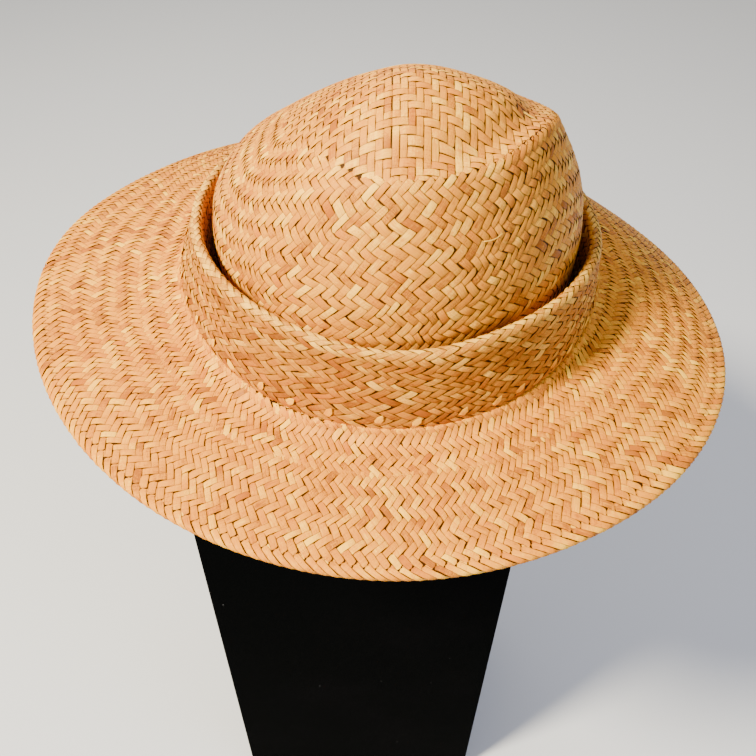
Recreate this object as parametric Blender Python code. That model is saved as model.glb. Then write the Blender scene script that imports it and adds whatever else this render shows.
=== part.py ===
# A plaited straw hat with a turned-up collar round its crown, on the plain block that shows it.
# Metres, +Z up. The origin is the middle of the block's foot, and the hat's front looks towards -Y.
import math

import bmesh
import bpy
from mathutils import Vector

# The block
STAND_WIDTH = 0.180
STAND_DEPTH = 0.180
STAND_HEIGHT = 0.457
STAND_ROUNDING = 0.0015

# Where the hat lies on the block, and the gap that neighbours keep
HAT_SHIFT = 0.0185
CLEARANCE = 0.0003

# The crown: the head's oval inside its foot, the belly over it and the tip that closes it
HEAD_WIDTH = 0.164
HEAD_LENGTH = 0.194
CROWN_WALL = 0.002
BELLY_SIDE = 0.005
BELLY_FRONT = 0.008
BELLY_HEIGHT = 0.048
TIP_WIDTH = 0.142
TIP_LENGTH = 0.160
TIP_TO_LEFT = 0.003
TIP_FORWARD = 0.008
CROWN_HEIGHT = 0.116
RIDGE_DEPTH = 0.005

# The dome on the tip: its peak stands near the front and falls away behind
PEAK_HEIGHT = 0.135
PEAK_TO_RIGHT = 0.004
PEAK_FORWARD = 0.0447

# The collar: two leaves that meet in a round rim
MOAT = 0.005
RIM_THICKNESS = 0.0056
COLLAR_WALL = 0.0018
COLLAR_HEIGHT = 0.057
BASE_FLARE = 0.0055
BASE_HEIGHT = 0.018
BASE_TO_LEFT = 0.003
FOOT_LEAD = 0.002

# The brim: a sheet with its edge turned under
BRIM_SIDE = 0.070
BRIM_FRONT = 0.065
BRIM_TO_LEFT = 0.001
BRIM_SWING = 0.025
BRIM_WALL = 0.0015
EDGE_THICKNESS = 0.0034
EDGE_BAND = 0.012
FILLET = 0.008
FILLET_LEAN = math.radians(18)

DIRECTIONS = 60

# A row for each direction round the hat: 0 degrees is its right side, 90 the back, 180 the left, 270 the front.
# tip: the crown's upper edge, of CROWN_HEIGHT. ridge: how crisp that edge is, of RIDGE_DEPTH.
# rim: the collar's top, of COLLAR_HEIGHT. base: the collar's lower edge, of BASE_HEIGHT.
# edge: the brim's outer edge over the block's top, of BRIM_SWING.
COLUMNS = ("degrees", "tip", "ridge", "rim", "base", "edge")
ROUND_THE_HAT = [
    # degrees, tip, ridge, rim, base, edge
    (0, 0.86, 0.60, 0.76, 1.00, -0.56),
    (30, 0.75, 0.15, 0.70, 0.95, -1.00),
    (60, 0.70, 0.00, 0.67, 0.90, -0.96),
    (90, 0.67, 0.00, 0.67, 0.85, -0.72),
    (120, 0.625, 0.00, 0.70, 0.90, -0.42),
    (150, 0.63, 0.00, 0.76, 1.05, 0.00),
    (180, 0.645, 0.00, 0.84, 1.25, 0.56),
    (210, 0.705, 0.05, 0.96, 1.20, 0.70),
    (240, 0.87, 0.20, 1.00, 1.05, 0.58),
    (270, 0.96, 0.50, 0.95, 1.00, 0.42),
    (300, 0.975, 0.90, 1.00, 1.05, 0.40),
    (330, 0.985, 1.00, 0.93, 1.10, 0.00),
]

# Sections from the foot up, as shares of the wall's height, and over the tip, as shares of its half width
CROWN_SECTIONS = [0.0, 0.10, 0.22, 0.35, 0.48, 0.61, 0.73, 0.84, 0.93, 1.0]
TIP_SECTIONS = [0.94, 0.86, 0.78, 0.68, 0.56, 0.42, 0.28, 0.14]
GROOVE_START = 0.62
LEAF_SECTIONS = [0.0, 0.25, 0.5, 0.75, 1.0]
BRIM_SECTIONS = [0.12, 0.26, 0.42, 0.58, 0.74, 0.88, 1.0]
RETURN_SECTIONS = [1.0, 0.5]
FOLD_ANGLES = [math.radians(degrees) for degrees in (0, 45, 90, 135, 180)]
FILLET_STEPS = 3

# How the curves bend: the dome towards the front, the sides and the back, the collar's flare towards its base,
# and the brim's rise or droop towards its edge
DOME_CURVE = {"front": 1.7, "side": 1.35, "back": 1.15}
FLARE_CURVE = 1.5
BRIM_CURVE = 1.3

STRAW = (0.55, 0.32, 0.13, 1.0)
STRAW_DARK = (0.48, 0.26, 0.10, 1.0)
VELVET = (0.006, 0.006, 0.007, 1.0)

foot_half = Vector((HEAD_WIDTH / 2 + CROWN_WALL, HEAD_LENGTH / 2 + CROWN_WALL))
belly_half = foot_half + Vector((BELLY_SIDE, BELLY_FRONT))
tip_half = Vector((TIP_WIDTH / 2, TIP_LENGTH / 2))
tip_shift = Vector((-TIP_TO_LEFT, -TIP_FORWARD))
peak_shift = Vector((PEAK_TO_RIGHT, -PEAK_FORWARD))
fold_radius = RIM_THICKNESS / 2
rim_half = belly_half + Vector((MOAT + fold_radius, MOAT + fold_radius))
base_half = rim_half + Vector((fold_radius + BASE_FLARE, fold_radius + BASE_FLARE))
base_shift = Vector((-BASE_TO_LEFT, 0))
edge_half = base_half + Vector((BRIM_SIDE, BRIM_FRONT))
edge_shift = base_shift - Vector((BRIM_TO_LEFT, 0))
edge_radius = EDGE_THICKNESS / 2
hat_floor = STAND_HEIGHT + CLEARANCE


def mix(start, end, share):
    return start + (end - start) * share


def around(column, turn):
    """A column's value in one direction, on a smooth closed curve through its rows."""
    values = [row[COLUMNS.index(column)] for row in ROUND_THE_HAT]
    first, part = divmod(turn / math.tau * len(values), 1)
    first = int(first)
    before, start, end, after = (values[(first + step) % len(values)] for step in (-1, 0, 1, 2))
    bend = 2 * before - 5 * start + 4 * end - after
    twist = 3 * (start - end) + after - before
    return start + part / 2 * ((end - before) + part * (bend + part * twist))


def place(half, turn, height, shift=Vector((0, 0))):
    """A point of an upright oval round the hat's middle, at a height over the block's top."""
    x = HAT_SHIFT + shift.x + half.x * math.cos(turn)
    y = shift.y + half.y * math.sin(turn)
    return Vector((x, y, hat_floor + height))


def wider(half, extra):
    return half + Vector((extra, extra))


def ring(point):
    """One closed ring: the point function's place in each direction."""
    return [point(math.tau * step / DIRECTIONS) for step in range(DIRECTIONS)]


def material(name, colour, roughness):
    made = bpy.data.materials.new(name)
    made.use_nodes = True
    shader = made.node_tree.nodes["Principled BSDF"]
    shader.inputs["Base Color"].default_value = colour
    shader.inputs["Roughness"].default_value = roughness
    shader.inputs["Metallic"].default_value = 0.0
    made.diffuse_color = colour
    return made


def add_object(name, mesh_builder, finish):
    mesh = bpy.data.meshes.new(name)
    mesh_builder.to_mesh(mesh)
    mesh_builder.free()
    mesh.materials.append(finish)
    made = bpy.data.objects.new(name, mesh)
    bpy.context.scene.collection.objects.link(made)
    return made


def add_sheet(name, rings, wall, finish, peak=None):
    """A skin through closed rings, thickened on its hidden side; a peak closes it at the last ring."""
    builder = bmesh.new()
    loops = [[builder.verts.new(point) for point in points] for points in rings]
    for lower, upper in zip(loops, loops[1:]):
        for step in range(DIRECTIONS):
            after = (step + 1) % DIRECTIONS
            builder.faces.new((lower[step], lower[after], upper[after], upper[step]))
    if peak is not None:
        top = builder.verts.new(peak)
        for step in range(DIRECTIONS):
            builder.faces.new((loops[-1][step], loops[-1][(step + 1) % DIRECTIONS], top))
    made = add_object(name, builder, finish)
    made.data.shade_smooth()
    thickness = made.modifiers.new("Straw", "SOLIDIFY")
    thickness.thickness = wall
    thickness.offset = -1
    thickness.use_even_offset = True
    return made


def crown_wall(turn, share):
    """The crown's outside: it swells from the foot to the belly, then leans in to the tip's edge."""
    top = CROWN_HEIGHT * around("tip", turn)
    up = top * share
    if up <= BELLY_HEIGHT:
        half = mix(foot_half, belly_half, math.sin(math.pi / 2 * up / BELLY_HEIGHT))
        return place(half, turn, up)
    lean = 1 - math.cos(math.pi / 2 * (up - BELLY_HEIGHT) / (top - BELLY_HEIGHT))
    return place(mix(belly_half, tip_half, lean), turn, up, tip_shift * lean)


def crown_tip(turn, out):
    """The dome inside the tip's edge, with a groove that makes that edge stand up at the front right."""
    top = CROWN_HEIGHT * around("tip", turn)
    towards = DOME_CURVE["back"] if math.sin(turn) > 0 else DOME_CURVE["front"]
    curve = mix(DOME_CURVE["side"], towards, abs(math.sin(turn)))
    height = mix(PEAK_HEIGHT, top, out**curve)
    if out > GROOVE_START:
        groove = math.sin(math.pi * (out - GROOVE_START) / (1 - GROOVE_START)) ** 2
        height -= RIDGE_DEPTH * around("ridge", turn) * groove
    return place(tip_half * out, turn, height, mix(peak_shift, tip_shift, out))


def build_crown(finish):
    rings = [ring(lambda turn, share=share: crown_wall(turn, share)) for share in CROWN_SECTIONS]
    rings += [ring(lambda turn, out=out: crown_tip(turn, out)) for out in TIP_SECTIONS]
    peak = place(Vector((0, 0)), 0, PEAK_HEIGHT, peak_shift)
    return add_sheet("crown", rings, CROWN_WALL, finish, peak)


def rim_middle(turn):
    return COLLAR_HEIGHT * around("rim", turn) - fold_radius


def outer_leaf(turn, share):
    base = BASE_HEIGHT * around("base", turn) + CLEARANCE
    flare = (1 - share) ** FLARE_CURVE
    half = wider(rim_half, fold_radius + BASE_FLARE * flare)
    return place(half, turn, mix(base, rim_middle(turn), share), base_shift * flare)


def rim_fold(turn, angle):
    half = wider(rim_half, fold_radius * math.cos(angle))
    return place(half, turn, rim_middle(turn) + fold_radius * math.sin(angle))


def inner_leaf(turn, share):
    """The moat's outer side: it starts beside the crown's foot and opens as it rises."""
    up = FOOT_LEAD + (rim_middle(turn) - FOOT_LEAD) * share
    swell = math.sin(math.pi / 2 * min(up / BELLY_HEIGHT, 1))
    gap = mix(CLEARANCE, MOAT, math.sin(math.pi / 2 * share))
    return place(wider(mix(foot_half, belly_half, swell), gap), turn, up)


def inner_foot(turn):
    start = inner_leaf(turn, 0)
    return Vector((start.x, start.y, hat_floor))


def build_collar(finish):
    rings = [ring(lambda turn, share=share: outer_leaf(turn, share)) for share in LEAF_SECTIONS]
    rings += [ring(lambda turn, angle=angle: rim_fold(turn, angle)) for angle in FOLD_ANGLES[1:-1]]
    rings += [ring(lambda turn, share=share: inner_leaf(turn, share)) for share in reversed(LEAF_SECTIONS)]
    rings.append(ring(inner_foot))
    return add_sheet("collar", rings, COLLAR_WALL, finish)


def brim_fillet(turn, angle):
    """The round corner from the collar's wall out to the brim's level."""
    out = FILLET * (math.cos(FILLET_LEAN) - math.cos(angle))
    down = FILLET * (math.sin(angle) - math.sin(FILLET_LEAN))
    return place(wider(base_half, out), turn, BASE_HEIGHT * around("base", turn) - down, base_shift)


def brim_top(turn, share):
    start = brim_fillet(turn, math.pi / 2)
    end = place(wider(edge_half, -edge_radius), turn, BRIM_SWING * around("edge", turn), edge_shift)
    point = mix(start, end, share)
    point.z = mix(start.z, end.z, share**BRIM_CURVE)
    return point


def brim_edge(turn, angle):
    half = wider(edge_half, edge_radius * (math.sin(angle) - 1))
    down = edge_radius * (1 - math.cos(angle))
    return place(half, turn, BRIM_SWING * around("edge", turn) - down, edge_shift)


def brim_return(turn, share):
    """The turned edge runs back under the brim and stays against it."""
    reach = min(BRIM_SIDE, BRIM_FRONT) - FILLET
    above = brim_top(turn, 1 - share * EDGE_BAND / reach)
    return above - Vector((0, 0, EDGE_THICKNESS))


def build_brim(finish):
    rings = [ring(lambda turn, share=share: brim_return(turn, share)) for share in RETURN_SECTIONS]
    rings += [ring(lambda turn, angle=angle: brim_edge(turn, angle)) for angle in reversed(FOLD_ANGLES)]
    rings += [ring(lambda turn, share=share: brim_top(turn, share)) for share in reversed(BRIM_SECTIONS[:-1])]
    for step in range(FILLET_STEPS, -1, -1):
        angle = mix(FILLET_LEAN, math.pi / 2, step / FILLET_STEPS)
        rings.append(ring(lambda turn, angle=angle: brim_fillet(turn, angle)))
    return add_sheet("brim", rings, BRIM_WALL, finish)


def build_stand(finish):
    builder = bmesh.new()
    bmesh.ops.create_cube(builder, size=1.0)
    bmesh.ops.scale(builder, vec=(STAND_WIDTH, STAND_DEPTH, STAND_HEIGHT), verts=builder.verts)
    bmesh.ops.translate(builder, vec=(0, 0, STAND_HEIGHT / 2), verts=builder.verts)
    made = add_object("stand", builder, finish)
    rounding = made.modifiers.new("Rounded edges", "BEVEL")
    rounding.width = STAND_ROUNDING
    rounding.segments = 2
    return made


def main():
    for old in list(bpy.data.objects):
        bpy.data.objects.remove(old, do_unlink=True)
    straw = material("straw", STRAW, 0.55)
    rim_straw = material("collar straw", STRAW_DARK, 0.55)
    velvet = material("velvet", VELVET, 0.9)
    build_stand(velvet)
    build_crown(straw)
    build_collar(rim_straw)
    build_brim(straw)


main()
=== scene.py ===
# Plaited straw hat on its display block: the looks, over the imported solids.
import math

import bpy
import numpy as np
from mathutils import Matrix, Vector
from mathutils.bvhtree import BVHTree


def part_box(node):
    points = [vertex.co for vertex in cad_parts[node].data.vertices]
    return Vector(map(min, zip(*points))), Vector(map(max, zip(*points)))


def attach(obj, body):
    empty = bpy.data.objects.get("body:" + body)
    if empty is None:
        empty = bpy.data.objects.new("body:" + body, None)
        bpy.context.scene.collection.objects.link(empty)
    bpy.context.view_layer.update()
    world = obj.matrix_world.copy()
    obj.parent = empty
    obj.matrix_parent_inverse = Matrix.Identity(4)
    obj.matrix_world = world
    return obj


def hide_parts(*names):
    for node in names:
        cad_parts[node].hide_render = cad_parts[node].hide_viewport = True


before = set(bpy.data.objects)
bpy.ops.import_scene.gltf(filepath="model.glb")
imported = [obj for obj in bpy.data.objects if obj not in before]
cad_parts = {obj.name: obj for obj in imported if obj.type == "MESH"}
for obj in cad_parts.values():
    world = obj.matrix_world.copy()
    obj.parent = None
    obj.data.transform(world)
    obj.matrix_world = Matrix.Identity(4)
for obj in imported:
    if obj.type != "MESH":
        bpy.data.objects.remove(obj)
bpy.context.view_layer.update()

crownLow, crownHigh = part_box("crown")
hatMiddle = Vector(((crownLow.x + crownHigh.x) / 2, (crownLow.y + crownHigh.y) / 2, 0))
hatFloor = crownLow.z
print("frame loaded")

# The photograph's camera, solved from the block's edges and the brim's oval
cameraView = {
    "place": (0.01094, -0.34292, 0.72911),
    "pitch": 45.5,
    "roll": 1.0,
    "focalPixels": 815,
    "picturePixels": 756,
}


def makeCamera():
    pitch, roll = math.radians(cameraView["pitch"]), math.radians(cameraView["roll"])
    flatUp = Vector((0, math.sin(pitch), math.cos(pitch)))
    ahead = Vector((0, math.cos(pitch), -math.sin(pitch)))
    right = Vector((1, 0, 0)) * math.cos(roll) + flatUp * math.sin(roll)
    up = flatUp * math.cos(roll) - Vector((1, 0, 0)) * math.sin(roll)
    data = bpy.data.cameras.new("photoCamera")
    data.sensor_width = 36
    data.lens = cameraView["focalPixels"] / cameraView["picturePixels"] * data.sensor_width
    data.clip_start = 0.02
    camera = bpy.data.objects.new("photoCamera", data)
    bpy.context.scene.collection.objects.link(camera)
    turned = camera.matrix_world.copy()
    for row in range(3):
        turned[row][0], turned[row][1], turned[row][2] = right[row], up[row], -ahead[row]
        turned[row][3] = cameraView["place"][row]
    camera.matrix_world = turned
    bpy.context.scene.camera = camera


makeCamera()

studio = {
    "key": {"from": (-0.72, -0.50, 1.48), "size": 0.26, "watts": 69, "tint": (1.0, 0.92, 0.74)},
    "fill": {"from": (1.3, -0.7, 1.2), "size": 1.4, "watts": 14, "tint": (0.54, 0.64, 1.0)},
    "back": {"from": (-0.3, 1.2, 1.6), "size": 1.2, "watts": 9, "tint": (1.0, 1.0, 1.0)},
    "aim": (0, 0, 0.45),
    "sky": 0.50,
    "floor": (0.72, 0.72, 0.72, 1),
    "floorSize": 60,
}


def addSoftLight(name, settings):
    data = bpy.data.lights.new(name, "AREA")
    data.shape = "DISK"
    data.size = settings["size"]
    data.energy = settings["watts"]
    data.color = settings["tint"]
    lamp = bpy.data.objects.new(name, data)
    bpy.context.scene.collection.objects.link(lamp)
    lamp.location = settings["from"]
    lamp.rotation_euler = (Vector(studio["aim"]) - lamp.location).to_track_quat("-Z", "Y").to_euler()


def lightStudio():
    for name in ("key", "fill", "back"):
        addSoftLight(name + "Light", studio[name])
    world = bpy.data.worlds.new("studio")
    world.use_nodes = True
    sky = world.node_tree.nodes["Background"]
    sky.inputs["Color"].default_value = (1.0, 1.0, 1.0, 1)
    sky.inputs["Strength"].default_value = studio["sky"]
    bpy.context.scene.world = world


lightStudio()
print("camera and lights placed")


class Wire:
    # One socket of a material's nodes, so that its maths reads as plain sums
    def __init__(self, tree, socket):
        self.tree, self.socket = tree, socket

    def sum(self, operation, first, second):
        node = self.tree.nodes.new("ShaderNodeMath")
        node.operation = operation
        for place, value in enumerate((first, second)):
            if isinstance(value, Wire):
                self.tree.links.new(value.socket, node.inputs[place])
            else:
                node.inputs[place].default_value = value
        return Wire(self.tree, node.outputs[0])

    def __add__(self, other):
        return self.sum("ADD", self, other)

    def __radd__(self, other):
        return self.sum("ADD", other, self)

    def __sub__(self, other):
        return self.sum("SUBTRACT", self, other)

    def __rsub__(self, other):
        return self.sum("SUBTRACT", other, self)

    def __mul__(self, other):
        return self.sum("MULTIPLY", self, other)

    def __rmul__(self, other):
        return self.sum("MULTIPLY", other, self)


class Finish:
    # A new material: node() adds one node with its settings and values, and set() fills the shader's own sockets
    def __init__(self, name):
        self.material = bpy.data.materials.new(name)
        self.material.use_nodes = True
        self.tree = self.material.node_tree
        self.shader = self.tree.nodes["Principled BSDF"]

    def put(self, socket, value):
        if isinstance(value, Wire):
            self.tree.links.new(value.socket, socket)
        else:
            socket.default_value = value

    def node(self, kind, settings=None, values=None, output=0):
        made = self.tree.nodes.new("ShaderNode" + kind)
        for key, setting in (settings or {}).items():
            setattr(made, key, setting)
        for key, value in (values or {}).items():
            self.put(made.inputs[key], value)
        return Wire(self.tree, made.outputs[output])

    def blend(self, share, first, second):
        return self.node("Mix", {"data_type": "RGBA"}, {0: share, 6: first, 7: second}, 2)

    def parts(self, vector):
        made = self.tree.nodes.new("ShaderNodeSeparateXYZ")
        self.tree.links.new(vector.socket, made.inputs[0])
        return [Wire(self.tree, made.outputs[place]) for place in range(3)]

    def between(self, value, low, high, newLow=0.0, newHigh=1.0):
        values = {0: value, 1: low, 2: high, 3: newLow, 4: newHigh}
        return self.node("MapRange", {"interpolation_type": "SMOOTHSTEP"}, values)

    def set(self, **values):
        for key, value in values.items():
            spaced = "".join(" " + letter if letter.isupper() else letter for letter in key).strip()
            self.put(self.shader.inputs[spaced], value)


straw = {
    "deep": (0.33, 0.092, 0.007, 1),
    "honey": (0.70, 0.264, 0.014, 1),
    "pale": (1.00, 0.54, 0.055, 1),
    "reddish": (0.56, 0.140, 0.009, 1),
    # The colour of the painted shade along strand edges and where strands dive under
    "crease": (0.030, 0.006, 0.001, 1),
    "gloss": (1.0, 0.62, 0.22, 1),
    "honeyAt": 0.48,
    "paleAt": 1.05,
    "fibresAcross": 7.0,
    "fibreLength": 0.16,
    "fibreDepth": 0.95,
    "blotchAcross": 0.6,
    "blotchLength": 0.12,
    "blotchDepth": 0.60,
    "edgeWidth": 0.46,
    "edgeShade": 0.80,
    "sunkShade": 0.92,
    "roughness": (0.36, 0.60),
    "sunkRoughness": 0.12,
    "bump": 0.00016,
    "shine": 0.26,
}


def makeStraw(name, shade):
    # The plait carries its own values: tone, redness and height in "strand", and the way across and along in UV
    finish = Finish(name)
    strand = finish.node("Attribute", {"attribute_name": "strand"}, None, 1)
    tone, red, height = finish.parts(strand)
    unwrapped = finish.node("UVMap", {"uv_map": "along"})
    across, along = finish.parts(unwrapped)[:2]
    stretched = finish.node("CombineXYZ", None, {
        0: across * straw["fibresAcross"], 1: along * straw["fibreLength"], 2: tone * 37.0})
    fibre = finish.node("TexNoise", None, {"Vector": stretched, "Scale": 1.0, "Detail": 4.0, "Roughness": 0.62})
    spread = finish.node("CombineXYZ", None, {
        0: across * straw["blotchAcross"], 1: along * straw["blotchLength"], 2: tone * 91.0})
    blotch = finish.node("TexNoise", None, {"Vector": spread, "Scale": 1.0, "Detail": 2.0})
    light = tone + (fibre - 0.5) * straw["fibreDepth"] + (blotch - 0.5) * straw["blotchDepth"]
    honeyAt, paleAt = straw["honeyAt"], straw["paleAt"]
    colour = finish.blend(finish.between(light, 0.0, honeyAt), shade["deep"], shade["honey"])
    colour = finish.blend(finish.between(light, honeyAt, paleAt), colour, shade["pale"])
    colour = finish.blend(red * finish.between(light, 1.1, 0.35), colour, shade["reddish"])
    # Painted shade: a strand is darker along its edges and where it dives under its neighbours, where the plait's
    # own shadows fall
    edge = finish.between(across * (1.0 - across) * 4.0, 0.0, straw["edgeWidth"], 1.0, 0.0)
    sunk = finish.between(height, 0.62, 0.10)
    worn = edge * straw["edgeShade"] + sunk * straw["sunkShade"]
    colour = finish.blend(worn, colour, shade["crease"])
    low, high = straw["roughness"]
    roughness = low + (high - low) * finish.between(fibre, 0.3, 0.7) + sunk * straw["sunkRoughness"]
    bump = finish.node("Bump", None, {"Strength": 0.8, "Distance": straw["bump"], "Height": fibre})
    finish.set(BaseColor=colour, Roughness=roughness, Normal=bump)
    finish.shader.inputs["Specular IOR Level"].default_value = straw["shine"]
    finish.shader.inputs["Specular Tint"].default_value = straw["gloss"]
    finish.material.diffuse_color = straw["honey"]
    return finish.material


# Painted shade: the dark colour of the sheet under the plait stands in for the shade in the plait's gaps
gapShadeTone = (0.10, 0.026, 0.004, 1)
strawLooks = {
    "crownStraw": dict(straw),
    # Painted shade: the collar's straw is a darker copy, for its wall that leans out away from the light from
    # above
    "collarShadedStraw": dict(straw, honey=(0.47, 0.176, 0.012, 1), pale=(0.86, 0.46, 0.055, 1),
                        deep=(0.24, 0.066, 0.006, 1)),
    "brimStraw": dict(straw, honey=(0.74, 0.260, 0.009, 1), pale=(1.00, 0.52, 0.035, 1)),
    "gapShadeStraw": dict(straw, honey=gapShadeTone, pale=gapShadeTone, deep=gapShadeTone,
                        reddish=gapShadeTone),
}
strawMaterials = {name: makeStraw(name, shade) for name, shade in strawLooks.items()}
print("straw ready")


# Smooth skins: the solids' outsides, read by rays, over which the strands run

def solidTree(node):
    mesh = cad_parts[node].data
    return BVHTree.FromPolygons([corner.co.copy() for corner in mesh.vertices],
                                [tuple(face.vertices) for face in mesh.polygons])


def evenTurns(halfWidth, halfDepth, count):
    # Directions that part an oval into equal lengths, as unit vectors
    turn = np.linspace(0, math.tau, 2881)
    step = np.hypot(np.diff(np.cos(turn)) * halfWidth, np.diff(np.sin(turn)) * halfDepth)
    length = np.concatenate([[0], np.cumsum(step)])
    turns = np.interp(np.arange(count) / count * length[-1], length, turn)
    ways = np.stack([np.cos(turns) * halfWidth, np.sin(turns) * halfDepth], 1)
    return ways / np.linalg.norm(ways, axis=1)[:, None]


def firstHit(tree, start, way):
    place = tree.ray_cast(Vector(start), Vector(way).normalized())[0]
    return None if place is None else np.array(place)


def calm(values, waves):
    # Keeps only the slow waves round the hat, so that the facets go
    spectrum = np.fft.rfft(values, axis=0)
    spectrum[waves:] = 0
    return np.fft.irfft(spectrum, n=len(values), axis=0)


class Skin:
    # Points in rows: places[direction, row step], with rows counted from firstRow in steps of 1 / fine
    def __init__(self, places, firstRow, fine, lowEnd, highEnd):
        self.places, self.firstRow, self.fine = places, firstRow, fine
        self.lowEnd, self.highEnd = lowEnd, highEnd
        aroundWay = np.roll(places, -1, 0) - np.roll(places, 1, 0)
        downWay = np.gradient(places, axis=1)
        normals = np.cross(aroundWay, downWay)
        size = np.linalg.norm(normals, axis=2, keepdims=True)
        self.normals = normals / np.maximum(size, 1e-12)

    def face(self, direction, row, way):
        # Turns the normals to the outside, told by one sample's known outward way
        sample = self.normals[direction, int((row - self.firstRow) * self.fine)]
        self.side = 1.0 if np.dot(sample, way) > 0 else -1.0
        self.normals *= self.side
        return self

    def read(self, table, turnShare, row):
        count, steps = table.shape[:2]
        x = np.mod(turnShare, 1.0) * count
        y = np.clip((row - self.firstRow) * self.fine, 0, steps - 1.001)
        left, low = np.floor(x).astype(int), np.floor(y).astype(int)
        right, a, b = (left + 1) % count, (x - left)[..., None], (y - low)[..., None]
        left = left % count
        near = table[left, low] * (1 - b) + table[left, low + 1] * b
        far = table[right, low] * (1 - b) + table[right, low + 1] * b
        return near * (1 - a) + far * a

    def at(self, turnShare, row):
        normal = self.read(self.normals, turnShare, row)
        return self.read(self.places, turnShare, row), normal / np.linalg.norm(normal, axis=-1, keepdims=True)

    def ends(self, turnShare):
        x = np.mod(turnShare, 1.0) * len(self.lowEnd)
        left = np.floor(x).astype(int) % len(self.lowEnd)
        right, a = (left + 1) % len(self.lowEnd), x - np.floor(x)
        low = self.lowEnd[left] * (1 - a) + self.lowEnd[right] * a
        return low, self.highEnd[left] * (1 - a) + self.highEnd[right] * a


def lengthAlong(line):
    return np.concatenate([[0], np.cumsum(np.linalg.norm(np.diff(line, axis=0), axis=1))])


def sampleLine(line, length, wanted, spare=0.2):
    # Points at the wanted lengths; past either end the line runs straight on
    before = line[0] + (line[0] - line[1]) / (length[1] - length[0]) * spare
    after = line[-1] + (line[-1] - line[-2]) / (length[-1] - length[-2]) * spare
    line = np.concatenate([[before], line, [after]])
    length = np.concatenate([[length[0] - spare], length, [length[-1] + spare]])
    return np.stack([np.interp(wanted, length, line[:, axis]) for axis in range(3)], 1)


# How far off the sampling rays start: round the crown and the collar, inside the moat's wall, and in height
rayStart = {"crown": 0.4, "collar": 0.22, "inside": 0.03, "above": 1.0, "below": 0.2}

crown = {
    "directions": 180,
    "half": (0.089, 0.107),
    "heart": (0.0, 0.0, 0.045),  # where the sampling rays aim, from the hat's middle at its floor
    "farStep": 0.015,  # a ray that lands further on has missed the foot and met the far side
    "tipMiddle": (0.0155, -0.008),
    "tipHalf": (0.071, 0.080),
    "rowHeight": 0.0047,
    "rows": (-8.0, 26.0),  # sampled, from the tip's edge down
    "footGap": 0.3,  # rows that the plait stops short of the foot
    "strands": 120,
    "stillRows": (0.0, 99.0),
    "cover": (0.92, 0.99),
    "footShade": (0.40, 15, 7),  # how much darker, from which row on, and over how many rows
    # How far the wall's plait reaches in over the tip, every 30 degrees from the right round by the back
    "reachIn": (0.0045, 0.005, 0.006, 0.008, 0.012, 0.020, 0.030, 0.034, 0.022, 0.0015, 0.0030, 0.0045),
    "gridStrand": 0.00292,
    "gridMiddle": (0.0143, -0.0757),
    "netStep": 0.0015,  # between the heights that are read under it
    "tipOverlap": 1.4,  # rows that the top's plait runs on under the wall's
    # Extra pale strands on the tip: partly paler straw, partly a painted glint
    "tipPale": 0.08,  # share of extra pale strands
    "tipDive": 0.0009,  # how deep its ends go, over the last tipSlope
    "tipSlope": 0.004,
    "seam": 0.0001,
    "seamRows": 15,
    "seamWidth": 0.16,  # in half strands
    # A short crosswise line left of the seam, over so many strands and so many half strands back
    "stepStrands": 7,
    "stepCell": 10,
    "stepWidth": 0.34,
    "waves": 11,
}
tipTree = solidTree("crown")


def crownLines():
    # One line down the crown for each direction, with its length from the tip's edge
    heart = np.array([hatMiddle.x, hatMiddle.y, hatFloor]) + np.array(crown["heart"])
    tilts = np.radians(np.linspace(0.5, 121, 230))
    lines, edges = [], []
    for way in evenTurns(*crown["half"], crown["directions"]):
        line = []
        for tilt in tilts:
            outward = np.array([way[0] * math.sin(tilt), way[1] * math.sin(tilt), math.cos(tilt)])
            place = firstHit(tipTree, heart + outward * rayStart["crown"], -outward)
            if place is None or place[2] < hatFloor + 0.0006:
                break
            if line and np.linalg.norm(place - line[-1]) > crown["farStep"]:
                break
            line.append(place)
        line = np.array(line)
        offset = (line[:, :2] - crown["tipMiddle"]) / crown["tipHalf"]
        edge = int(np.argmax(np.hypot(offset[:, 0], offset[:, 1]) >= 0.992))
        lines.append(line)
        edges.append(lengthAlong(line)[edge])
    return lines, np.array(edges)


def byDirection(values, count):
    # A value every 30 degrees, spread smoothly over the even directions
    ways = evenTurns(*crown["half"], count)
    turns = np.degrees(np.arctan2(ways[:, 1], ways[:, 0])) % 360
    return calm(np.interp(turns, np.arange(0, 361, 360 / len(values)), list(values) + [values[0]]), 8)


def makeCrownSkin():
    lines, edges = crownLines()
    edges = calm(edges, 14)
    height, fine = crown["rowHeight"], 5
    firstRow, lastRow = crown["rows"]
    rows = np.arange(0, (lastRow - firstRow) * fine + 1) / fine + firstRow
    places, feet = [], []
    for line, edge in zip(lines, edges):
        length = lengthAlong(line)
        places.append(sampleLine(line, length, edge + rows * height))
        feet.append((length[-1] - edge) / height)
    places = calm(np.array(places), crown["waves"])
    reach = byDirection(crown["reachIn"], crown["directions"])
    skin = Skin(places, firstRow, fine, -reach / height, np.array(feet) - crown["footGap"])
    return skin.face(0, 8.0, (1, 0, 0))


crownSkin = makeCrownSkin()
print("crown skin read")


collar = {
    "directions": 180,
    "half": (0.0968, 0.1148),
    "rowHeight": 0.00335,
    "rows": (-14.0, 20.0),  # sampled, from the fold's crest
    "strands": 120,
    "stillRows": (0.0, 99.0),
    "cover": (0.93, 0.99),
    "foldRadius": 0.0028,
    "levels": (0.008, 0.070, 0.0005),  # over the hat's floor, where its base and its fold are looked for
    "thinnest": 0.0045,  # the two leaves are at least so far apart where the collar stands
    "behindBrim": 0.005,
    "foldPale": (0.34, 0, 1.3),  # how much paler, round which row, and how widely
    "footShade": (0.10, 7, 4),
    "insideShade": (0.45, 2.5, 4),
    "waves": 11,
}


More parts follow.
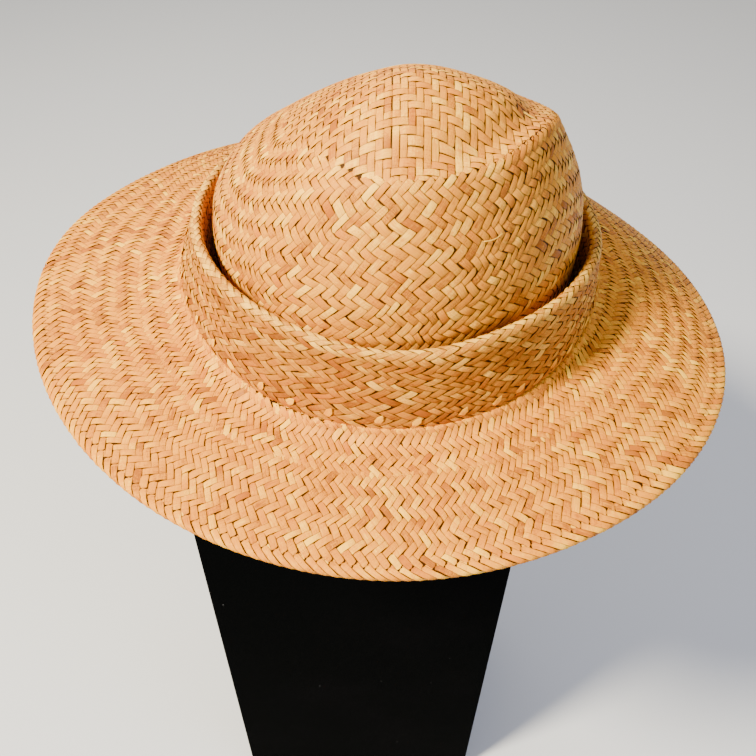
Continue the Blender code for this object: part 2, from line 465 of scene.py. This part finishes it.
def makeCollarSkin():
    tree = solidTree("collar")
    radius = collar["foldRadius"]
    height, fine = collar["rowHeight"], 6
    wallPoints = 23
    lines, folds = [], []
    for way in evenTurns(*collar["half"], collar["directions"]):
        flat = np.array([way[0], way[1], 0.0])
        axis = np.array([hatMiddle.x, hatMiddle.y, 0.0])

        def outside(level):
            place = firstHit(tree, axis + flat * rayStart["collar"] + [0, 0, level], -flat)
            return 0 if place is None else float(np.dot(place - axis, flat))

        def inside(level):
            place = firstHit(tree, axis + [0, 0, level] + flat * rayStart["inside"], flat)
            return 0 if place is None else float(np.dot(place - axis, flat))

        levels = hatFloor + np.arange(*collar["levels"])
        gaps = np.array([outside(level) - inside(level) for level in levels])
        reached = [level for level, gap in zip(levels, gaps) if gap > collar["thinnest"]]
        base, top = reached[0], reached[-1]
        crest = []
        middle = (outside(top) + inside(top)) / 2
        for step in np.linspace(-0.003, 0.003, 13):
            place = firstHit(tree, axis + flat * (middle + step) + [0, 0, rayStart["above"]], (0, 0, -1))
            if place is not None:
                crest.append(place[2])
        level = max(crest) - radius
        middle = (outside(level) + inside(level)) / 2
        line = [axis + flat * outside(z) + [0, 0, z] for z in np.linspace(base, level, wallPoints + 1)[:-1]]
        line[0] = line[0] - [0, 0, collar["behindBrim"]]
        for angle in np.radians(np.linspace(0, 180, 13)):
            reach, rise = middle + radius * math.cos(angle), level + radius * math.sin(angle)
            line.append(axis + flat * reach + [0, 0, rise])
        line += [axis + flat * inside(z) + [0, 0, z] for z in np.linspace(level, hatFloor + 0.003, 28)[1:]]
        line = np.array(line)
        length = lengthAlong(line)
        lines.append(line)
        folds.append((length[wallPoints] + math.pi * radius / 2, length[-1]))
    folds = calm(np.array(folds), 14)
    firstRow, lastRow = collar["rows"]
    rows = np.arange(0, (lastRow - firstRow) * fine + 1) / fine + firstRow
    places = np.array([sampleLine(line, lengthAlong(line), fold[0] + rows * height)
                       for line, fold in zip(lines, folds)])
    places = calm(places, collar["waves"])
    skin = Skin(places, firstRow, fine, -folds[:, 0] / height + 0.05, (folds[:, 1] - folds[:, 0]) / height - 0.2)
    return skin.face(0, -4.0, (1, 0, 0))


collarSkin = makeCollarSkin()
print("collar skin read")


brim = {
    "directions": 220,
    "half": (0.140, 0.155),
    "middleShift": -0.0035,  # of the brim's sampling rays from the hat's middle
    "startsPast": 0.085,
    "endsBetween": (0.15, 0.21),
    "rowHeight": 0.0043,
    "rows": 17,
    "zones": ((0.0, 0.22, 168), (0.22, 0.42, 224), (0.42, 1.0, 256)),
    "strands": 224,
    "stillRows": (0.0, 17.0),
    "cover": (0.93, 0.99),
    "edgeRadius": 0.0017,
    "turnedUnder": 0.011,
    "upCollar": 0.0008,  # the first row starts on the collar's wall, so far above the brim's top
    "edgeSlant": 0.18,  # how far the strands lean along the edge, in strands
    "startPale": (0.24, 0.5, 0.6),
    "edgePale": (0.10, 17.2, 1.2),
    "waves": 11,
}


def makeBrimSkin():
    tree, collarTree = solidTree("brim"), solidTree("collar")
    radius, rows, height = brim["edgeRadius"], brim["rows"], brim["rowHeight"]
    down, up = (0, 0, -1), (0, 0, 1)
    axis = np.array([hatMiddle.x + brim["middleShift"], hatMiddle.y, 0.0])
    lines, edges = [], []
    for way in evenTurns(*brim["half"], brim["directions"]):
        flat = np.array([way[0], way[1], 0.0])

        def top(reach):
            return firstHit(tree, axis + flat * reach + [0, 0, rayStart["above"]], down)

        start = brim["startsPast"]
        while top(start) is None:
            start += 0.0005
        low, high = brim["endsBetween"]
        for halving in range(16):
            middle = (low + high) / 2
            if top(middle) is None:
                high = middle
            else:
                low = middle
        end = low - radius
        steps = np.concatenate([np.arange(start, start + 0.009, 0.0004), np.linspace(start + 0.009, end, 44)])
        level = top(start + 0.004)[2] + brim["upCollar"]
        foot = firstHit(collarTree, axis + flat * rayStart["collar"] + [0, 0, level], -flat)
        steps = steps[steps > np.dot(foot - axis, flat) + 0.0008]
        line = [foot] + [top(step) for step in steps]
        centre = line[-1] - [0, 0, radius]
        for angle in np.radians(np.linspace(75, -90, 12)):
            line.append(centre + flat * radius * math.cos(angle) + [0, 0, radius * math.sin(angle)])
        below = firstHit(tree, axis + flat * end + [0, 0, rayStart["below"]], up)
        for step in np.linspace(end - 0.002, end - brim["turnedUnder"], 6):
            place = firstHit(tree, axis + flat * step + [0, 0, rayStart["below"]], up)
            line.append(place if place is not None else below)
        line = np.array(line)
        length = lengthAlong(line)
        lines.append(line)
        edges.append((length[len(steps)] + radius * math.pi / 2, length[-1]))
    edges = calm(np.array(edges), 14)
    fine, lastRow = 7, rows + 4.0
    wanted = np.arange(0, lastRow * fine + 1) / fine
    places = []
    for line, (edge, end) in zip(lines, edges):
        length = np.where(wanted <= rows, wanted / rows * edge, edge + (wanted - rows) * height)
        places.append(sampleLine(line, lengthAlong(line), length))
    places = calm(np.array(places), brim["waves"])
    ends = rows + (edges[:, 1] - edges[:, 0]) / height
    skin = Skin(places, 0.0, fine, np.zeros(len(lines)), ends)
    return skin.face(0, 8.0, (0, 0, 1))


brimSkin = makeBrimSkin()
print("brim skin read")


# The plait: each strand is a closed flat ribbon that goes over two and under two

overUnder = np.array([1.0, 1.15, 1.0, 0.0, -1.0, -1.15, -1.0, 0.0])
plaitShape = {
    "underSkin": 0.00055,
    "halfThickness": 0.00022,
    "wave": 0.00042,
    "dive": 0.00055,
    "widthVaries": 0.035,
    "strays": 0.035,  # how far a strand strays along its run, in strands
    "offLine": 0.03,  # how far a whole strand lies off its line, in strands
    "heightVaries": 0.00003,
    "proudEnds": (0.0006, 0.0004, 0.0002),  # the first three steps of a toothed start
    # Extra pale strands: partly paler straw, partly a painted glint
    "pale": 0.10,  # share of extra pale strands
}


class Ribbons:
    # Gathers strands and turns them into one mesh
    def __init__(self, seed):
        self.points, self.faces, self.strands, self.unwraps, self.count = [], [], [], [], 0
        self.chance = np.random.default_rng(seed)

    def add(self, left, middle, right, normals, heights, tones, lengths):
        # left, middle, right and their normals: one row of three numbers for each step along the strand
        steps = len(middle)
        half = plaitShape["halfThickness"]
        lift = heights[:, None]
        block = np.empty((steps, 4, 3))
        block[:, 0] = left + normals[0] * lift
        block[:, 1] = middle + normals[1] * (lift + half)
        block[:, 2] = right + normals[2] * lift
        block[:, 3] = middle + normals[1] * (lift - half)
        first = self.count
        low = first + 4 * np.arange(steps - 1)[:, None] + np.arange(4)[None, :]
        after = first + 4 * np.arange(steps - 1)[:, None] + (np.arange(4)[None, :] + 1) % 4
        quads = np.stack([low, after, after + 4, low + 4], -1).reshape(-1, 4)
        caps = np.array([[first + 3, first + 2, first + 1, first],
                         [first + 4 * (steps - 1) + side for side in range(4)]])
        corners = block.reshape(-1, 3)[quads - first] - middle[0]
        inside = (np.cross(corners[:, 0], corners[:, 1]) * corners[:, 2]).sum()
        inside += (np.cross(corners[:, 0], corners[:, 2]) * corners[:, 3]).sum()
        if inside < 0:
            quads, caps = quads[:, ::-1], caps[:, ::-1]
        self.points.append(block.reshape(-1, 3))
        self.faces.append(np.concatenate([quads, caps]))
        self.strands.append(np.repeat(tones, 4, axis=0))
        across = np.tile([0.0, 0.5, 1.0, 0.5], steps)
        self.unwraps.append(np.stack([across, np.repeat(lengths * 1000, 4)], 1))
        self.count += 4 * steps

    def finish(self, name, finish):
        points, faces = np.concatenate(self.points), np.concatenate(self.faces)
        mesh = bpy.data.meshes.new(name)
        mesh.vertices.add(len(points))
        mesh.vertices.foreach_set("co", points.ravel())
        mesh.loops.add(faces.size)
        mesh.loops.foreach_set("vertex_index", faces.ravel().astype(np.int32))
        mesh.polygons.add(len(faces))
        mesh.polygons.foreach_set("loop_start", np.arange(0, faces.size, 4, dtype=np.int32))
        mesh.update(calc_edges=True)
        mesh.polygons.foreach_set("use_smooth", np.ones(len(faces), dtype=bool))
        ends = np.empty(len(mesh.edges) * 2, dtype=np.int32)
        mesh.edges.foreach_get("vertices", ends)
        ends = ends.reshape(-1, 2) % 4
        along = (ends[:, 0] == ends[:, 1]) & (ends[:, 0] % 2 == 0)
        sharp = mesh.attributes.new("sharp_edge", "BOOLEAN", "EDGE")
        sharp.data.foreach_set("value", along)
        strand = mesh.attributes.new("strand", "FLOAT_VECTOR", "POINT")
        strand.data.foreach_set("vector", np.concatenate(self.strands).ravel())
        layer = mesh.uv_layers.new(name="along")
        layer.data.foreach_set("uv", np.concatenate(self.unwraps)[faces.ravel()].ravel())
        mesh.materials.append(finish)
        mesh.update()
        made = bpy.data.objects.new(name, mesh)
        bpy.context.scene.collection.objects.link(made)
        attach(made, "root")
        print(name, len(faces) * 2, "triangles")
        return made


# How the plait wanders, as waves round the hat: size, waves, phase, and how the phase moves with each row
wander = {
    "rows": ((0.30, 3, 1.1, 0.0), (0.20, 7, 2.0, 0.20), (0.13, 13, 0.0, 0.55), (0.07, 29, 0.0, 1.3)),
    "across": ((0.35, 5, 0.0, 0.35), (0.22, 11, 0.7, -0.5), (0.10, 23, 0.0, 0.9)),
}


def drift(settings, turnShare, row):
    # Slow wander of the rows and of the strands, none where a skin is told to keep still
    turn = math.tau * turnShare
    first, last = settings["stillRows"]
    free = np.clip(np.abs(row - first) / 3, 0, 1) * np.clip(np.abs(last - row) / 3, 0, 1)

    def waves(table):
        return sum(size * np.sin(count * turn + phase + shift * row) for size, count, phase, shift in table)

    rows, across = waves(wander["rows"]), waves(wander["across"])
    slant = settings.get("edgeSlant", 0.0) * np.clip(row - last + 1.5, 0, 3) ** 2
    return turnShare + (across * free + slant) / settings["strands"], row + rows * free


strandTone = {
    "tone": (0.46, 0.12),  # the usual value, and how much it varies from strand to strand
    "redness": (0.06, 0.20),
    # How much paler those strands are: partly paler straw, partly a painted glint
    "palerBy": 0.20,
    "changesEvery": 0.008,
    "toneChange": 0.15,  # along one strand
    "rednessChange": 0.12,
    "reddest": 0.65,
}


def strandTones(chance, heights, lengths, pale):
    # Tone, redness and height for each step, with slow changes along the strand; the height sets the straw's
    # painted shade where a strand dives under
    base = chance.normal(*strandTone["tone"])
    if chance.random() < pale:
        base += strandTone["palerBy"]
    red = max(0.0, chance.normal(*strandTone["redness"]))
    knots = np.arange(lengths.min(), lengths.max() + 0.02, strandTone["changesEvery"])
    slow = np.interp(lengths, knots, chance.normal(0, strandTone["toneChange"], len(knots)))
    redder = red + np.interp(lengths, knots, chance.normal(0, strandTone["rednessChange"], len(knots)))
    redder = np.clip(redder, 0, strandTone["reddest"])
    highest = overUnder.max()
    rise = (heights + highest) / (2 * highest)
    return np.stack([np.clip(base + slow, 0, 1.1), redder, rise], 1)


def plaitSkin(ribbons, skin, settings, strands, shading, firstRow=None, lastRow=None, every=1, edgeRow=None,
              toothed=False):
    # Both families of strands over a skin, between two rows or from end to end. shading changes their tone by the
    # row, every=2 takes fewer steps along them, and toothed starts one family proud where the others are tucked in
    low, high = skin.ends(np.arange(400) / 400)
    start = math.floor(low.min() * 4) if firstRow is None else round(firstRow * 4)
    stop = math.ceil(high.max() * 4) if lastRow is None else round(lastRow * 4)
    numbers = np.arange(start, stop + 1)
    if every == 2:
        numbers = numbers[(numbers % 4) != 1]
    rows = numbers / 4
    wave, dive, under = plaitShape["wave"], plaitShape["dive"], plaitShape["underSkin"]
    for lean in (-1, 1):
        for number in range(strands):
            cover = ribbons.chance.uniform(*settings["cover"])
            turn = (number + 0.5 + lean * rows) / strands
            lowEnd, highEnd = skin.ends(turn)
            kept = np.ones(len(rows), dtype=bool)
            if firstRow is None:
                kept &= rows >= lowEnd
            if lastRow is None:
                kept &= rows <= highEnd
            picked = np.flatnonzero(kept)
            if len(picked) < 4:
                continue
            picked = np.arange(picked[0], picked[-1] + 1)
            row, share = rows[picked], turn[picked]
            heights = -lean * overUnder[numbers[picked] % 8]
            if edgeRow is not None:
                # One family runs over the brim's edge in long floats
                step = numbers[picked] - edgeRow * 4
                heights = np.where((step > -5) & (step < 5), lean * 1.0, heights)
                heights = np.where(step == -5, lean * -0.4, heights)
                heights = np.where(step == 5, 0.0, heights)
            quarter = 0.25 * cover * (1 + ribbons.chance.normal(0, plaitShape["widthVaries"], len(row)))
            knots = np.arange(row[0], row[-1] + 2.0, 1.5)
            stray = np.interp(row, knots, ribbons.chance.normal(0, plaitShape["strays"], len(knots)))
            share = share + (stray + ribbons.chance.normal(0, plaitShape["offLine"])) / strands
            middle, normalMiddle = skin.at(*drift(settings, share, row))
            left, normalLeft = skin.at(*drift(settings, share + lean * quarter / strands, row - quarter))
            right, normalRight = skin.at(*drift(settings, share - lean * quarter / strands, row + quarter))
            lift = heights * wave + ribbons.chance.normal(0, plaitShape["heightVaries"], len(row)) - under
            if toothed and lean < 0:
                lift[:3] += plaitShape["proudEnds"]
            else:
                lift[0] = -under - dive
            lift[-1] = -under - dive
            length = lengthAlong(middle) + number * 0.37
            tones = strandTones(ribbons.chance, heights, length, plaitShape["pale"])
            tones[:, 0] += shading(row)
            ribbons.add(left, middle, right, (normalLeft, normalMiddle, normalRight), lift, tones, length)
    return ribbons


lining = {
    "halfThickness": 0.00004,
    "turns": 120,
    "rowsApart": 0.5,
    "highTrim": 0.2,
    "tipSteps": 40,
    "tipSink": 0.0002,
}


def layGapShade(name, upper, lower):
    # A thin dark sheet midway through the plait, painted shade so that its gaps show no light and look dark: grids
    # of places, turns by rows
    turns, rows = upper.shape[:2]
    points = np.concatenate([upper.reshape(-1, 3), lower.reshape(-1, 3)])
    i, j = np.meshgrid(np.arange(turns), np.arange(rows - 1), indexing="ij")
    near, far = i * rows + j, (i + 1) % turns * rows + j
    top = np.stack([near, far, far + 1, near + 1], -1).reshape(-1, 4)
    bottom = top[:, ::-1] + turns * rows
    around = np.arange(turns)
    faces = [top, bottom]
    for row, order in ((0, 1), (rows - 1, -1)):
        here, there = around * rows + row, (around + 1) % turns * rows + row
        faces.append(np.stack([here, here + turns * rows, there + turns * rows, there], -1)[:, ::order])
    faces = np.concatenate(faces)
    mesh = bpy.data.meshes.new(name)
    mesh.from_pydata([tuple(point) for point in points], [], [tuple(face) for face in faces.tolist()])
    mesh.materials.append(strawMaterials["gapShadeStraw"])
    mesh.update()
    made = bpy.data.objects.new(name, mesh)
    bpy.context.scene.collection.objects.link(made)
    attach(made, "root")
    print(name, len(faces) * 2, "triangles")
    return made


def lineSkin(name, skin, lowTrim=0.3):
    # The dark painted-shade sheet for a skin, a little short of its two ends
    shares = np.arange(lining["turns"]) / lining["turns"]
    low, high = skin.ends(shares)
    count = int(np.ceil((high - low).max() / lining["rowsApart"]))
    parts = np.linspace(0, 1, count)[None, :]
    row = (low + lowTrim)[:, None] * (1 - parts) + (high - lining["highTrim"])[:, None] * parts
    place, normal = skin.at(np.repeat(shares[:, None], count, 1), row)
    middle = place - normal * plaitShape["underSkin"]
    half = normal * lining["halfThickness"] * skin.side
    return layGapShade(name, middle + half, middle - half)


wallGapShade = lineSkin("crownGapShade", crownSkin)
collarGapShade = lineSkin("collarGapShade", collarSkin)
brimGapShade = lineSkin("brimGapShade", brimSkin, 0.6)


def palerAt(row, amount, middle, width):
    return amount * np.exp(-(((row - middle) / width) ** 2))


def darkerPast(row, amount, first, spread):
    return -amount * np.clip((row - first) / spread, 0, 1)


def darkFoot(row):
    # Painted shade: the crown's wall darkens down in the moat
    return darkerPast(row, *crown["footShade"])


wall = plaitSkin(Ribbons(3), crownSkin, crown, crown["strands"], darkFoot, every=2)
wall = wall.finish("crownWall", strawMaterials["crownStraw"])


def paleRim(row):
    # The collar's fold is paler than its wall; its foot, and most of all its inside, are darker with painted shade
    return (palerAt(row, *collar["foldPale"]) + darkerPast(-row, *collar["footShade"])
            + darkerPast(row, *collar["insideShade"]))


def paleStart(row):
    # A pale first row on the brim, and a pale turned edge
    return palerAt(row, *brim["startPale"]) + palerAt(row, *brim["edgePale"])


turnUp = plaitSkin(Ribbons(5), collarSkin, collar, collar["strands"], paleRim, every=2)
turnUp = turnUp.finish("turnedUpCollar", strawMaterials["collarShadedStraw"])

inner, outer = Ribbons(7), Ribbons(9)
for zone, (start, stop, strands) in enumerate(brim["zones"]):
    firstRow = round(start * brim["rows"] / 2) * 2 - (0 if zone == 0 else 1.0)
    lastRow = round(stop * brim["rows"] / 2) * 2 if stop < 1 else None
    plaitSkin(inner if zone < 2 else outer, brimSkin, brim, strands, paleStart, firstRow, lastRow,
              every=1 if stop < 1 else 2, edgeRow=brim["rows"] if stop >= 1 else None, toothed=zone == 0)
innerBrim = inner.finish("innerBrim", strawMaterials["brimStraw"])
outerBrim = outer.finish("outerBrim", strawMaterials["brimStraw"])


nicks = {
    "count": 42,
    "row": 1.15,  # above the brim's start, in the collar's rows
    "length": 0.0058,
    "width": 0.0034,
    # Places along each end in shares of its length, and there its width in shares and its height
    "along": (-0.55, -0.2, 0.15, 0.42, 0.5),
    "widths": (0.9, 1.0, 1.0, 0.40, 0.05),
    "heights": (-0.0006, 0.0001, 0.00056, 0.0007, 0.0007),
    "lean": (0.45, 0.85),
    "leansRight": 0.85,  # share of the ends that lean that way
}


def makeNicks():
    # Cut strand ends that poke out of the collar's foot, each a short pointed ribbon
    ribbons = Ribbons(13)
    chance = ribbons.chance
    for number in range(nicks["count"]):
        share = (number + chance.uniform(-0.2, 0.2)) / nicks["count"]
        low = collarSkin.ends(np.array([share]))[0][0]
        behind = collar["behindBrim"] / collar["rowHeight"]
        row = low + behind + nicks["row"] + chance.uniform(-0.25, 0.25)
        point, normal = collarSkin.at(np.array([share]), np.array([row]))
        above = collarSkin.at(np.array([share]), np.array([row + 0.5]))[0]
        point, normal, up = point[0], normal[0], above[0] - point[0]
        up = up / np.linalg.norm(up)
        right = np.cross(up, normal)
        lean = chance.uniform(*nicks["lean"]) * (1 if chance.random() < nicks["leansRight"] else -1)
        along = up * math.cos(lean) + right * math.sin(lean)
        across = np.cross(along, normal)
        steps, rise = np.array(nicks["along"]), np.array(nicks["heights"])
        widths = np.array(nicks["widths"]) * nicks["width"] / 2
        middle = point + along * (steps * nicks["length"])[:, None]
        left, right = middle - across * widths[:, None], middle + across * widths[:, None]
        tones = np.tile([chance.uniform(0.65, 1.0), 0.0, 0.9], (len(steps), 1))
        normals = np.tile(normal, (len(steps), 1))
        ribbons.add(left, middle, right, (normals, normals, normals), rise, tones, (steps + 1) * nicks["length"])
    ribbons.finish("cutEnds", strawMaterials["brimStraw"])


makeNicks()

fibre = {
    "places": ((0.0498, -0.0904, 0.5466), (0.0521, -0.0893, 0.5463), (0.0545, -0.0881, 0.5466),
               (0.0570, -0.0866, 0.5478)),
    "outward": (0.60, -0.75, 0.28),
    "width": 0.0005,
    "steps": 10,
}


def makeFibre():
    # One loose fibre that curls off the crown's front right
    ribbons = Ribbons(17)
    corners = np.array(fibre["places"])
    steps = np.linspace(0, len(corners) - 1, fibre["steps"])
    middle = np.stack([np.interp(steps, np.arange(len(corners)), corners[:, axis]) for axis in range(3)], 1)
    normal = np.array(fibre["outward"]) / np.linalg.norm(fibre["outward"])
    across = np.cross(np.gradient(middle, axis=0), normal)
    across = across / np.linalg.norm(across, axis=1)[:, None] * fibre["width"] / 2
    normals = np.tile(normal, (len(steps), 1))
    lift = 0.0002 + 0.0005 * np.sin(steps / steps[-1] * math.pi)
    tones = np.tile([1.0, 0.0, 0.95], (len(steps), 1))
    ribbons.add(middle - across, middle, middle + across, (normals, normals, normals), lift, tones,
                lengthAlong(middle))
    ribbons.finish("looseFibre", strawMaterials["crownStraw"])


makeFibre()


def tipHeights():
    # The dome's height over a square net of places, read straight down
    x0, y0, step = crownLow.x, crownLow.y, crown["netStep"]
    across = np.arange(x0, crownHigh.x + step, step)
    back = np.arange(y0, crownHigh.y + step, step)
    heights = np.full((len(across), len(back)), np.nan)
    for i, x in enumerate(across):
        for j, y in enumerate(back):
            place = firstHit(tipTree, (x, y, rayStart["above"]), (0, 0, -1))
            if place is not None:
                heights[i, j] = place[2]
    heights = np.where(np.isnan(heights), hatFloor, heights)
    for again in range(3):
        padded = np.pad(heights, 1, mode="edge")
        heights = (padded[:-2, 1:-1] + padded[2:, 1:-1] + padded[1:-1, :-2] + padded[1:-1, 2:] + 2 * heights) / 6
    slopeX, slopeY = np.gradient(heights, step)
    normals = np.stack([-slopeX, -slopeY, np.ones_like(heights)], -1)
    normals /= np.linalg.norm(normals, axis=-1, keepdims=True)
    return x0, y0, step, heights, normals


def plaitTip():
    # The square plait over the dome: strands along X and along Y that step down in rings round the middle
    x0, y0, step, heights, normals = tipHeights()

    def read(table, x, y):
        a = np.clip((x - x0) / step, 0, table.shape[0] - 1.001)
        b = np.clip((y - y0) / step, 0, table.shape[1] - 1.001)
        i, j = np.floor(a).astype(int), np.floor(b).astype(int)
        a, b = (a - i)[:, None], (b - j)[:, None]
        table = table.reshape(table.shape[0], table.shape[1], -1)
        return ((table[i, j] * (1 - a) + table[i + 1, j] * a) * (1 - b)
                + (table[i, j + 1] * (1 - a) + table[i + 1, j + 1] * a) * b)

    pitch = crown["gridStrand"]
    middleX, middleY = crown["gridMiddle"]
    shares = np.arange(360) / 360
    low = crownSkin.ends(shares)[0]
    rim = crownSkin.at(shares, low + crown["tipOverlap"])[0]
    turns = np.arctan2(rim[:, 1] - hatMiddle.y, rim[:, 0] - hatMiddle.x)
    order = np.argsort(turns)
    turns, reach = turns[order], np.hypot(rim[:, 0] - hatMiddle.x, rim[:, 1] - hatMiddle.y)[order]
    ribbons = Ribbons(11)
    wave, under = plaitShape["wave"], plaitShape["underSkin"]
    for alongX in (True, False):
        for number in range(-60, 61):
            if number == 0:
                continue
            offset = (abs(number) - 0.5) * math.copysign(pitch, number)
            if not alongX:
                offset += math.copysign(crown["seam"], number)
            cover = ribbons.chance.uniform(*crown["cover"])
            cells = np.arange(-120, 121)
            creased = None
            if alongX and 0 < number <= crown["seamRows"]:
                creased = 0
            elif not alongX and -crown["stepStrands"] <= number < 0:
                creased = crown["stepCell"]
            if creased is not None:
                width = crown["seamWidth"] if alongX else crown["stepWidth"]
                near = creased + np.array([-width, 0, width])
                cells = np.concatenate([cells[cells < creased], near, cells[cells > creased]])
            travel = cells * pitch / 2
            x, y = (travel, np.full(len(travel), offset)) if alongX else (np.full(len(travel), offset), travel)
            x, y = x + middleX, y + middleY
            turn = np.arctan2(y - hatMiddle.y, x - hatMiddle.x)
            limit = np.interp(turn, turns, reach, period=math.tau)
            distance = np.hypot(x - hatMiddle.x, y - hatMiddle.y)
            kept = np.flatnonzero(distance <= limit)
            if len(kept) < 4:
                continue
            kept = np.arange(kept[0], kept[-1] + 1)
            x, y, cell = x[kept], y[kept], cells[kept]
            # Crossings lie at odd half cells, and rings step out from both middle lines; a seam parts the halves
            crossing = np.where(cell % 2 == 1, cell, np.floor(cell / 2) * 2 + 1)
            steps = np.abs(number) - 1 + (np.abs(crossing) - 1) // 2
            toRight = crossing > 0 if alongX else np.full(len(cell), number > 0)
            toBack = crossing > 0 if not alongX else np.full(len(cell), number > 0)
            steps = steps + 2 * toRight + 2 * (toBack & ~toRight)
            over = np.where(np.mod(steps, 4) < 2, 1.0, -1.0)
            known = cell % 2 == 1
            over = np.interp(cell, cell[known], over[known])
            level = over if alongX else -over
            # At the seam and the step line the strand dips deep, and the straw's sunk mask paints it dark there: a
            # painted shade line
            if creased is not None:
                level = np.where(cell == creased, -1.15, level)
            half = pitch * 0.5 * cover
            shift = (0, half) if alongX else (-half, 0)
            sides = []
            for sign in (-1, 0, 1):
                sx, sy = x + sign * shift[0], y + sign * shift[1]
                sides.append((np.stack([sx, sy, read(heights, sx, sy)[:, 0]], 1), read(normals, sx, sy)))
            gap = (limit[kept] - distance[kept]) / crown["tipSlope"]
            lift = level * wave - under - crown["tipDive"] * np.clip(1 - gap, 0, 1)
            length = lengthAlong(sides[1][0]) + number * 0.41
            tones = strandTones(ribbons.chance, level, length, crown["tipPale"])
            ribbons.add(sides[0][0], sides[1][0], sides[2][0], (sides[0][1], sides[1][1], sides[2][1]),
                        lift, tones, length)
    # The dark painted-shade sheet under it: a star of places from the tip's middle out to the wall's plait
    around = np.arange(lining["turns"]) / lining["turns"] * math.tau
    limit = np.interp(around, turns, reach, period=math.tau) + 0.0004
    centreX, centreY = crown["tipMiddle"]
    out = np.concatenate([[0.004], np.linspace(0.03, 1, lining["tipSteps"])])[None, :]
    x = (hatMiddle.x + np.cos(around) * limit)[:, None] * out + centreX * (1 - out)
    y = (hatMiddle.y + np.sin(around) * limit)[:, None] * out + centreY * (1 - out)
    level = read(heights, x.ravel(), y.ravel()).reshape(x.shape) - under - lining["tipSink"]
    level = level - crown["tipDive"] * np.clip((out - 0.9) / 0.1, 0, 1)
    place = np.stack([x, y, level], -1)
    half = np.array([0, 0, lining["halfThickness"]])
    return (ribbons.finish("crownTip", strawMaterials["crownStraw"]),
            layGapShade("tipGapShade", place + half, place - half))


tip, tipGapShade = plaitTip()
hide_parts("crown")
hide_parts("crown")
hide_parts("crown")
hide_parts("crown")
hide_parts("collar")
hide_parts("brim")
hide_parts("collar")
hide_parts("brim")
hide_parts("brim")
print("plait made")

velvet = {
    "pile": (0.0006, 0.0008, 0.0008, 1),
    "worn": (0.0012, 0.0012, 0.0013, 1),
    "lint": (0.10, 0.10, 0.10, 1),
    "napScale": 1400.0,
    "napDepth": 0.0003,
    "rubScale": 14.0,
    "lintScale": 95.0,
    "shine": 0.015,
}


def makeVelvet():
    finish = Finish("blackVelvet")
    place = finish.node("TexCoord", None, None, 3)
    nap = finish.node("TexNoise", None, {"Vector": place, "Scale": velvet["napScale"], "Detail": 3.0})
    rubbed = finish.node("TexNoise", None, {"Vector": place, "Scale": velvet["rubScale"], "Detail": 4.0})
    colour = finish.blend(finish.between(rubbed, 0.45, 0.75), velvet["pile"], velvet["worn"])
    specks = finish.node("TexVoronoi", None, {"Vector": place, "Scale": velvet["lintScale"], "Randomness": 1.0})
    rare = finish.node("TexNoise", None, {"Vector": place, "Scale": 61.0, "Detail": 0.0})
    lint = finish.between(specks, 0.055, 0.02) * finish.between(rare, 0.60, 0.66)
    colour = finish.blend(lint, colour, velvet["lint"])
    bump = finish.node("Bump", None, {"Strength": 0.7, "Distance": velvet["napDepth"], "Height": nap})
    finish.set(BaseColor=colour, Roughness=0.86 + nap * 0.12, Normal=bump)
    finish.shader.inputs["Specular IOR Level"].default_value = velvet["shine"]
    return finish.material


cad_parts["stand"].material_slots[0].material = makeVelvet()


def layFloor():
    bpy.ops.object.select_all(action="DESELECT")
    bpy.ops.mesh.primitive_plane_add(size=studio["floorSize"], location=(0, 0, 0))
    floor = bpy.context.object
    floor.name = "paleFloor"
    finish = Finish("paleFloor")
    finish.set(BaseColor=studio["floor"], Roughness=0.9)
    floor.data.materials.append(finish.material)


layFloor()
print("finished")
